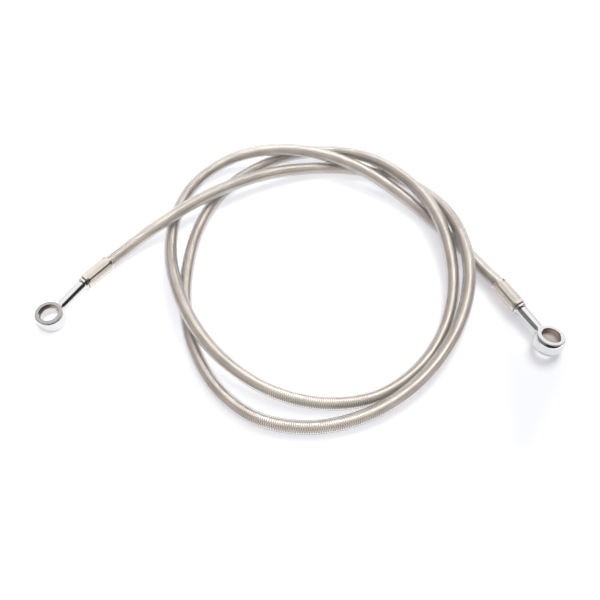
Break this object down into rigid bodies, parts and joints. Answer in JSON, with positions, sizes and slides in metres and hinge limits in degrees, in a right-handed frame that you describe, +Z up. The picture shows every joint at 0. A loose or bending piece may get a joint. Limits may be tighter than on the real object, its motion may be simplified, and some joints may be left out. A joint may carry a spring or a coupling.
{
  "type": "brake line",
  "caption": "Flexible braided brake hose in a clear sleeve, lying in a loose coil, with a crimped banjo fitting at each end.",
  "frame": {"origin": "on the table, at the centre of the footprint of the coil and its fittings", "axes": "+Z up from the table, +X from the left fitting towards the right fitting, +Y away from the fittings' rings towards the far side of the coil"},
  "size_m": [0.285, 0.1999, 0.0162],
  "materials": {
    "clear_sleeve": "clear, smooth",
    "braid_steel": "fine woven wire",
    "liner": "smooth",
    "ferrule_steel": "satin nickel",
    "banjo_chrome": "polished"
  },
  "bodies": {
    "root": {"hose_jacket": "clear_sleeve", "hose_braid": "braid_steel", "hose_liner": "liner", "left_ferrule": "ferrule_steel", "right_ferrule": "ferrule_steel", "left_banjo": "banjo_chrome", "right_banjo": "banjo_chrome"}
  },
  "joints": []
}
